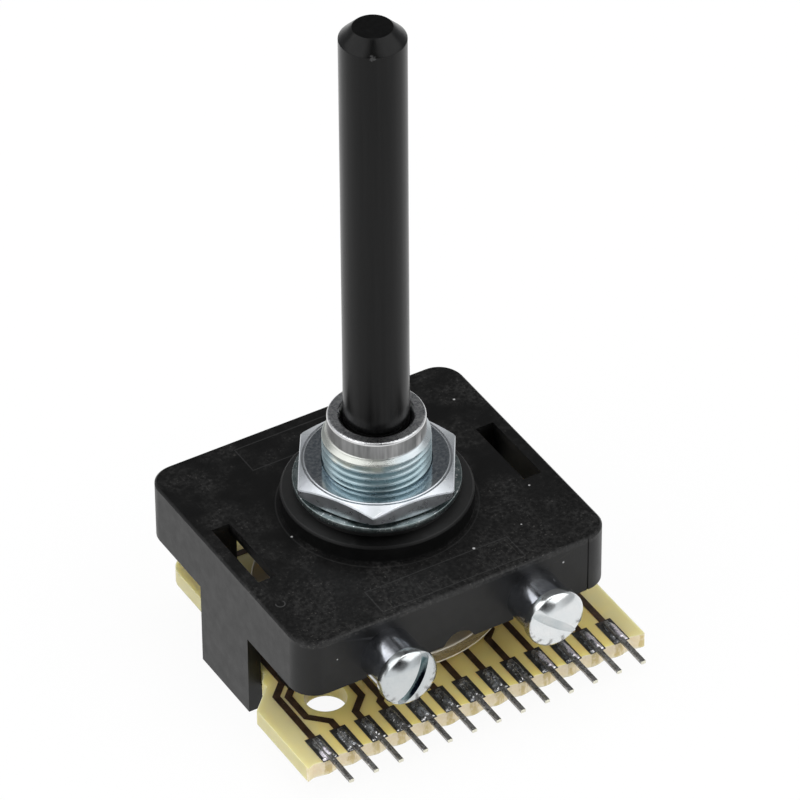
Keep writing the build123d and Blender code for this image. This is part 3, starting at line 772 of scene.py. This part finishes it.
def corner_direction(node):
    """Direction, seen from above, of a corner of a node about the axis."""
    far = max((vertex.co for vertex in nodes[node].data.vertices), key=lambda co: co.x**2 + co.y**2)
    return atan2(far.y, far.x)


def nut_profile(outer):
    """Radii and heights round the nut's section where its side is that far from the axis."""
    fall = (outer - nut_cone) * nut_slope + nut_step_fall
    soft_fall = fall - nut_edge * nut_slope
    return [
        (nut_bore, nut_bottom + nut_lead),
        (nut_bore, nut_top - nut_lead),
        (nut_bore + nut_lead, nut_top),
        (nut_ring, nut_top),
        (nut_step, nut_top - nut_step_fall),
        (nut_cone, nut_top - nut_step_fall),
        (outer - nut_edge, nut_top - soft_fall),
        (outer, nut_top - fall - nut_edge),
        (outer, nut_bottom + fall + nut_edge),
        (outer - nut_edge, nut_bottom + soft_fall),
        (nut_ring, nut_bottom),
        (nut_bore + nut_lead, nut_bottom),
    ]


def hexagon_nut():
    """The nut's section carried round the hexagon, in steps along each flat and one step over each corner."""
    made = bmesh.new()
    first_corner = corner_direction("mounting_nut")
    turns = [corner_half_angle * (2 * step / flat_steps - 1) for step in range(flat_steps + 1)]
    turns.append(pi / 6)
    columns = []
    for side in range(6):
        middle = first_corner + (side + 0.5) * pi / 3
        for away in turns:
            outer = min(nut_half / cos(away), corner_radius)
            angle = middle + away
            column = [(out * cos(angle), out * sin(angle), up) for out, up in nut_profile(outer)]
            columns.append([made.verts.new(place) for place in column])
    for here, after in zip(columns, columns[1:] + columns[:1]):
        for step in range(len(here)):
            made.faces.new((here[step - 1], after[step - 1], after[step], here[step]))
    return made


new_piece("hexagon_nut", as_mesh("hexagon_nut", hexagon_nut()), "mounting_nut", 18.0)


# Screws: pan heads with a slot
screw_radius = 1.5 * MM
head_radius = 2.85 * MM
head_rim = 0.75 * MM
head_slot_depth = 1.15 * MM
right_slot_turn = -36.0
head_places = 96
crown_rows = 24
crown_power = 1.3


def carved(mesh, cutter_mesh):
    """The first mesh less the second."""
    solid = bpy.data.objects.new("solid", mesh)
    cutter = bpy.data.objects.new("cutter", cutter_mesh)
    collection.objects.link(solid)
    collection.objects.link(cutter)
    cut = solid.modifiers.new("cut", "BOOLEAN")
    cut.operation = "DIFFERENCE"
    cut.solver = "EXACT"
    cut.object = cutter
    result = bpy.data.meshes.new_from_object(solid.evaluated_get(bpy.context.evaluated_depsgraph_get()))
    bpy.data.objects.remove(solid)
    bpy.data.objects.remove(cutter)
    return result


def pan_screw(name, slot_turn):
    """A slotted screw with a crowned head, on the seat of its stud, with its slot turned by degrees."""
    low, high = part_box(name)
    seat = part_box(name.replace("screw", "stud"))[0].y
    height = seat - low.y
    crown = []
    for row in range(crown_rows + 1):
        lean = pi / 2 * row / crown_rows
        crown.append((head_radius * cos(lean), head_rim + (height - head_rim) * sin(lean) ** crown_power))
    profile = [(0, seat - high.y), (screw_radius, seat - high.y), (screw_radius, 0), (head_radius, 0)]
    solid = as_mesh(name, lathe(lambda angle: profile + crown, head_places))
    slot = bmesh.new()
    size = Matrix.Diagonal((3 * head_radius, head_slot_width, 2 * head_slot_depth, 1))
    move = Matrix.Translation((0, 0, height)) @ Matrix.Rotation(radians(slot_turn), 4, "Z")
    bmesh.ops.create_cube(slot, size=1.0, matrix=move @ size)
    mesh = carved(solid, as_mesh("slot", slot))
    centre = Vector(((low.x + high.x) / 2, seat, (low.z + high.z) / 2))
    mesh.transform(Matrix.Translation(centre) @ Matrix.Rotation(pi / 2, 4, "X"))
    piece = new_piece("pan_" + name, mesh, name, 26.0)
    soften(piece, 0.05 * MM, angle=34.0)


pan_screw("screw_left", left_slot_turn)
pan_screw("screw_right", right_slot_turn)


# Board: the CAD outline with the sawn waves of its front edge
wave_depth = 0.1 * MM
wave_end = 0.6 * MM
edge_cuts = 280
on_edge = 0.01 * MM


def sawn(x, height):
    """How far the front edge is worn back at x: in waves of the terminals' pitch, with a rough surface."""
    wave = 1 - cos(2 * pi * (x + sawn_shift) / pin_pitch)
    rough = abs(noise.noise(Vector((x / MM * 1.3, height / MM * 2.0, 4.0))))
    fine = abs(noise.noise(Vector((x / MM * 5.0, height, 9.0))))
    return wave_depth * (wave + 0.4 * rough + 0.25 * fine)


def sawn_board():
    """The CAD board, without the normals that came with it, cut fine along its front edge and worn there."""
    plain = nodes["circuit_board"].data.copy()
    if "custom_normal" in plain.attributes:
        plain.attributes.remove(plain.attributes["custom_normal"])
    made = bmesh.new()
    made.from_mesh(plain)
    bpy.data.meshes.remove(plain)
    bmesh.ops.remove_doubles(made, verts=made.verts[:], dist=0.001 * MM)
    bmesh.ops.dissolve_limit(made, angle_limit=radians(0.5), verts=made.verts[:], edges=made.edges[:])
    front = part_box("circuit_board")[0].y
    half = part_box("circuit_board")[1].x
    level_edges = []
    for edge in made.edges:
        first, second = edge.verts
        if max(first.co.y, second.co.y) < front + on_edge and abs(first.co.z - second.co.z) < on_edge:
            level_edges.append(edge)
    bmesh.ops.subdivide_edges(made, edges=level_edges, cuts=edge_cuts, use_grid_fill=True)
    for vert in made.verts:
        if vert.co.y < front + on_edge:
            near_end = min((half - abs(vert.co.x)) / wave_end, 1.0)
            vert.co.y += sawn(vert.co.x, vert.co.z) * near_end
    bmesh.ops.triangulate(made, faces=made.faces[:])
    return made


new_piece("sawn_board", as_mesh("sawn_board", sawn_board()), "circuit_board", 30.0)


# Solder: a lump over each terminal and a thin pool beside it, on the pad
pad_half = 0.76 * MM
lump_length = 3.2 * MM
lump_inset = 0.02 * MM
cells_across = 24
cells_along = 48

# The lump's form in plain millimetres. A bead has a height, a place and a half width, across and along
ridge_height = 0.47
ridge_half_width = 0.33
ridge_lean = 0.14
ridge_falls = 2.3
ridge_end = 3.05
pool_height = 0.08
pool_half_width = 0.62
toe_begins = 0.02
toe_full = 0.16
rough_grain = 0.07
smooth_grain = 0.015
beads = ((0.2, -0.48, 0.2, 0.17, 0.16), (0.14, 0.52, 0.18, 0.13, 0.14))


def fall_off(value, start, end):
    """1 up to the start and 0 from the end, with a smooth change."""
    share = min(max((value - start) / (end - start), 0.0), 1.0)
    return 1 - share * share * (3 - 2 * share)


def lump_height(across, along, seed, smooth):
    """Height above the pad at a place across from the terminal and in from the board's edge.

    The lump is a ridge with a pool beside it and beads at the edge. Smooth goes from 0 to 1.
    """
    spot = Vector((across * 1.6 + seed * 7.3, along * 1.6, seed))
    coarse = noise.noise(spot)
    fine = noise.noise(spot * 3.1) + 0.5 * noise.noise(spot * 6.7)
    width = ridge_half_width + 0.07 * coarse
    ridge = ridge_height * exp(-((abs(across - ridge_lean * smooth) / width) ** 2.6))
    ridge *= fall_off(along, ridge_falls + 0.5 * noise.noise(Vector((seed, 0.0, 3.0))), ridge_end)
    ridge *= 1 - 0.75 * fall_off(along, 0.0, 0.4)
    pool = pool_height * fall_off(abs(across), 0.3 + 0.25 * coarse, pool_half_width)
    pool *= fall_off(along, 0.9 + coarse, 1.7 + coarse)
    grain = rough_grain + (smooth_grain - rough_grain) * smooth
    height = max(ridge, pool) + grain * fine * min(1.0, (ridge + pool) * 8)
    bead = 0.0
    for peak, place_across, place_along, half_across, half_along in beads:
        off = ((across - place_across) / half_across) ** 2 + ((along - place_along) / half_along) ** 2
        bead += peak * exp(-off)
    return max(height, bead) * fall_off(-along, -toe_full, -toe_begins)


def solder_lumps():
    """A fine grid over each pad, raised by the lump's height, and a flat face under it."""
    made = bmesh.new()
    pad_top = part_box("solder_joints")[0].z
    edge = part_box("circuit_board")[0].y
    for number in range(1, pin_count + 1):
        low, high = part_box(f"pin_{number:02d}")
        middle = (low.x + high.x) / 2
        smooth = 1.0 if number >= first_smooth_pin else 0.6 if number == 1 else 0.0
        grid = []
        for column in range(cells_across + 1):
            across = pad_half * (2 * column / cells_across - 1)
            points = []
            for row in range(cells_along + 1):
                along = lump_length * row / cells_along
                height = lump_height(across / MM, along / MM, number, smooth) * MM
                if column in (0, cells_across) or row in (0, cells_along):
                    height = 0.0
                place = (middle + across, edge + lump_inset + along, pad_top + max(height, 0.0) - lump_inset)
                points.append(made.verts.new(place))
            grid.append(points)
        for here, after in zip(grid, grid[1:]):
            for row in range(cells_along):
                made.faces.new((here[row], after[row], after[row + 1], here[row + 1]))
        around = grid[0] + [points[-1] for points in grid[1:]]
        around += grid[-1][-2::-1] + [points[0] for points in grid[-2:0:-1]]
        made.faces.new(around)
    return made


new_piece("solder_lumps", as_mesh("solder_lumps", solder_lumps()), "solder_joints", 60.0)


# CAD nodes whose shape is right: small edge radii
soften(nodes["housing"], 0.07 * MM)
soften(nodes["washer"], 0.06 * MM)
soften(nodes["spindle"], 0.12 * MM, segments=3, angle=25.0)
soften(nodes["rotor"], 0.1 * MM)
for number in range(1, pin_count + 1):
    soften(nodes[f"pin_{number:02d}"], 0.05 * MM)


# Floor, white as the photograph's, which keeps a faint shadow
floor_reach = 3.0
floor_white = 0.93
floor_z = cad_bounds[0][2]
corners = [(-floor_reach, -floor_reach), (floor_reach, -floor_reach)]
corners += [(-x, -y) for x, y in corners]
floor_mesh = bpy.data.meshes.new("floor")
floor_mesh.from_pydata([(x, y, floor_z) for x, y in corners], [], [(0, 1, 2, 3)])
floor_piece = bpy.data.objects.new("floor", floor_mesh)
collection.objects.link(floor_piece)
floor_look = bpy.data.materials.new("floor")
floor_look.use_nodes = True
floor_look.node_tree.nodes.clear()
paint = Nodes(floor_look.node_tree)
seen = paint.add("LightPath", {}, out="Is Camera Ray")
for ray in ("Is Glossy Ray", "Is Transmission Ray"):
    seen = paint.calc("MAXIMUM", seen, paint.add("LightPath", {}, out=ray))
matt = paint.add("BsdfDiffuse", {"Color": grey(0.95)})
glow = paint.add("Emission", {})
both = paint.add("MixShader", {0: paint.times(seen, floor_white), 1: matt, 2: glow})
paint.add("OutputMaterial", {"Surface": both})
floor_mesh.materials.append(floor_look)


def studio_direction(bearing, height):
    """A direction at a bearing in degrees from the camera's and at a height in degrees."""
    angle = camera_bearing + radians(bearing)
    lift = radians(height)
    return Vector((cos(angle) * cos(lift), sin(angle) * cos(lift), sin(lift)))


# World: a pale room that the camera sees as white, with a brighter band low down on the camera's side
sky_level = 0.5
horizon_level = 2.6
horizon_mirrored = 0.2
horizon_begins = 0.2
horizon_full = 0.8
horizon_fades = 0.35
horizon_gone = 0.6

# Dark parts: bearing, height, cosines where each begins and is darkest, and share of light that it takes
dark_parts = (
    (180.0, 38.35, 0.76, 0.93, 0.76),
    (0.0, 38.91, 0.90, 0.975, 0.9),
    (24.2, 26.78, 0.90, 0.97, 0.85),
    (0.0, 58.0, 0.90, 0.955, 0.7),
    (0.0, 72.0, 0.90, 0.955, 0.7),
)
world = bpy.data.worlds.new("studio")
bpy.context.scene.world = world
world.use_nodes = True
world.node_tree.nodes.clear()
room = Nodes(world.node_tree)
away = room.add("TexCoord", {}, out="Generated")
in_front = room.ramp(room.dot(away, studio_direction(0.0, 0.0)), horizon_begins, horizon_full)
low_down = room.ramp(room.add("SeparateXYZ", {0: away}, out=2), horizon_fades, horizon_gone, 1.0, 0.0)
glossy = room.add("LightPath", {}, out="Is Glossy Ray")
mirrored = room.ramp(glossy, 0.0, 1.0, 1.0, horizon_mirrored, "LINEAR")
horizon = room.times(in_front, low_down, mirrored)
level = room.ramp(horizon, 0.0, 1.0, sky_level, horizon_level, "LINEAR")
for bearing, height, begins, darkest, taken in dark_parts:
    near = room.dot(away, studio_direction(bearing, height))
    level = room.times(level, room.ramp(near, begins, darkest, 1.0, 1.0 - taken))
sky = room.add("Background", {"Color": rgb(0.97, 0.985, 1.0), "Strength": level})
white = room.add("Background", {"Color": grey(1.0)})
seen = room.add("LightPath", {}, out="Is Camera Ray")
both = room.add("MixShader", {0: seen, 1: sky, 2: white})
room.add("OutputWorld", {"Surface": both})


def softbox(name, bearing, height, distance, size, power):
    """A rectangular lamp that is aimed at the object and that the camera doesn't see."""
    data = bpy.data.lights.new(name, "AREA")
    data.shape = "RECTANGLE"
    data.size, data.size_y = size
    data.energy = power
    lamp = bpy.data.objects.new(name, data)
    collection.objects.link(lamp)
    lamp.location = studio_direction(bearing, height) * distance
    lamp.rotation_euler = lamp.location.to_track_quat("Z", "Y").to_euler()
    lamp.visible_camera = False


side_size = (0.8, 0.55)
softbox("softbox_above", bearing=180.0, height=79.0, distance=0.7, size=(0.4, 0.4), power=1.25)
softbox("softbox_front", bearing=0.0, height=69.0, distance=0.7, size=(0.16, 0.05), power=0.06)
softbox("softbox_right", bearing=76.0, height=50.0, distance=0.65, size=side_size, power=1.8)
softbox("softbox_left", bearing=-76.0, height=50.0, distance=0.65, size=side_size, power=1.8)
